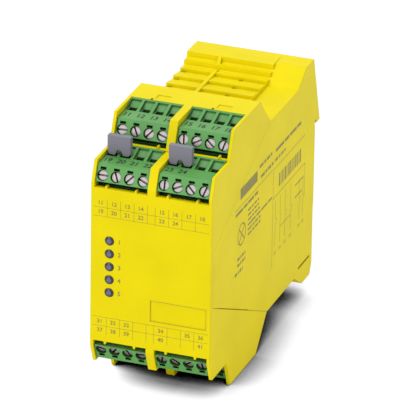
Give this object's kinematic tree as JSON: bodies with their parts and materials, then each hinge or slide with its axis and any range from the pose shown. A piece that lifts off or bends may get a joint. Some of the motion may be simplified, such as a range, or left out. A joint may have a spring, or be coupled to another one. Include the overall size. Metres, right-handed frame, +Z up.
{
  "type": "safety relay",
  "caption": "Rail-mounted safety relay: slim yellow two-shell module with stepped green plug-in screw terminals, status lamps, grey insertion bridges and louvred decks.",
  "frame": {"origin": "centre of the 35 mm rail's height and the module's width, on the face that sits against the rail", "axes": "+Y into the rail, away from the module's front; +Z up the cabinet; +X along the rail, to the right seen from the front"},
  "size_m": [0.045, 0.115, 0.099],
  "materials": {
    "casing_yellow": "fine satin moulded",
    "terminal_green": "satin moulded",
    "grip_grey": "satin moulded",
    "foot_black": "satin moulded",
    "zinc_steel": "zinc plated",
    "nickel_brass": "nickel plated",
    "tinned_brass": "tinned",
    "spring_steel": "drawn wire",
    "circuit_board": "solder resist",
    "relay_case": "moulded",
    "capacitor_can": "sleeved",
    "lamp_resin": "cast",
    "lens_smoke": "polished"
  },
  "bodies": {
    "root": {"front_housing": "casing_yellow", "rear_housing": "casing_yellow", "header_top_front_left": "terminal_green", "pins_top_front_left": "tinned_brass", "header_top_front_right": "terminal_green", "pins_top_front_right": "tinned_brass", "header_top_rear_left": "terminal_green", "pins_top_rear_left": "tinned_brass", "header_top_rear_right": "terminal_green", "pins_top_rear_right": "tinned_brass", "header_bottom_front_left": "terminal_green", "pins_bottom_front_left": "tinned_brass", "header_bottom_front_right": "terminal_green", "pins_bottom_front_right": "tinned_brass", "header_bottom_rear_left": "terminal_green", "pins_bottom_rear_left": "tinned_brass", "header_bottom_rear_right": "terminal_green", "pins_bottom_rear_right": "tinned_brass", "main_board_left": "circuit_board", "relay_upper_left": "relay_case", "relay_lower_left": "relay_case", "main_board_right": "circuit_board", "relay_upper_right": "relay_case", "relay_lower_right": "relay_case", "lamp_board": "circuit_board", "status_lamps": "lamp_resin", "status_lenses": "lens_smoke", "capacitors": "capacitor_can", "foot_spring": "spring_steel"},
    "top_front_left_plug": {"plug_top_front_left": "terminal_green", "screws_top_front_left": "zinc_steel", "clamps_top_front_left": "nickel_brass"},
    "top_front_right_plug": {"plug_top_front_right": "terminal_green", "screws_top_front_right": "zinc_steel", "clamps_top_front_right": "nickel_brass"},
    "top_rear_left_plug": {"plug_top_rear_left": "terminal_green", "screws_top_rear_left": "zinc_steel", "clamps_top_rear_left": "nickel_brass"},
    "top_rear_right_plug": {"plug_top_rear_right": "terminal_green", "screws_top_rear_right": "zinc_steel", "clamps_top_rear_right": "nickel_brass"},
    "bottom_front_left_plug": {"plug_bottom_front_left": "terminal_green", "screws_bottom_front_left": "zinc_steel", "clamps_bottom_front_left": "nickel_brass"},
    "bottom_front_right_plug": {"plug_bottom_front_right": "terminal_green", "screws_bottom_front_right": "zinc_steel", "clamps_bottom_front_right": "nickel_brass"},
    "bottom_rear_left_plug": {"plug_bottom_rear_left": "terminal_green", "screws_bottom_rear_left": "zinc_steel", "clamps_bottom_rear_left": "nickel_brass"},
    "bottom_rear_right_plug": {"plug_bottom_rear_right": "terminal_green", "screws_bottom_rear_right": "zinc_steel", "clamps_bottom_rear_right": "nickel_brass"},
    "left_bridge": {"bridge_left": "grip_grey", "fork_left": "zinc_steel"},
    "right_bridge": {"bridge_right": "grip_grey", "fork_right": "zinc_steel"},
    "foot": {"din_foot": "foot_black"}
  },
  "joints": [
    {"name": "top_front_left_plug_out", "type": "slide", "parent": "root", "child": "top_front_left_plug", "axis": [0, 0, 1], "range_m": [0, 0.02]},
    {"name": "top_front_right_plug_out", "type": "slide", "parent": "root", "child": "top_front_right_plug", "axis": [0, 0, 1], "range_m": [0, 0.02]},
    {"name": "top_rear_left_plug_out", "type": "slide", "parent": "root", "child": "top_rear_left_plug", "axis": [0, 0, 1], "range_m": [0, 0.02]},
    {"name": "top_rear_right_plug_out", "type": "slide", "parent": "root", "child": "top_rear_right_plug", "axis": [0, 0, 1], "range_m": [0, 0.02]},
    {"name": "bottom_front_left_plug_out", "type": "slide", "parent": "root", "child": "bottom_front_left_plug", "axis": [0, 0, -1], "range_m": [0, 0.02]},
    {"name": "bottom_front_right_plug_out", "type": "slide", "parent": "root", "child": "bottom_front_right_plug", "axis": [0, 0, -1], "range_m": [0, 0.02]},
    {"name": "bottom_rear_left_plug_out", "type": "slide", "parent": "root", "child": "bottom_rear_left_plug", "axis": [0, 0, -1], "range_m": [0, 0.02]},
    {"name": "bottom_rear_right_plug_out", "type": "slide", "parent": "root", "child": "bottom_rear_right_plug", "axis": [0, 0, -1], "range_m": [0, 0.02]},
    {"name": "left_bridge_out", "type": "slide", "parent": "top_front_left_plug", "child": "left_bridge", "axis": [0, 0, 1], "range_m": [0, 0.012]},
    {"name": "right_bridge_out", "type": "slide", "parent": "top_front_right_plug", "child": "right_bridge", "axis": [0, 0, 1], "range_m": [0, 0.012]},
    {"name": "foot_release", "type": "slide", "parent": "root", "child": "foot", "axis": [0, 0, -1], "range_m": [0, 0.003], "stiffness_N_per_m": 2000, "springref_m": -0.001, "deforming": ["foot_spring"]}
  ]
}
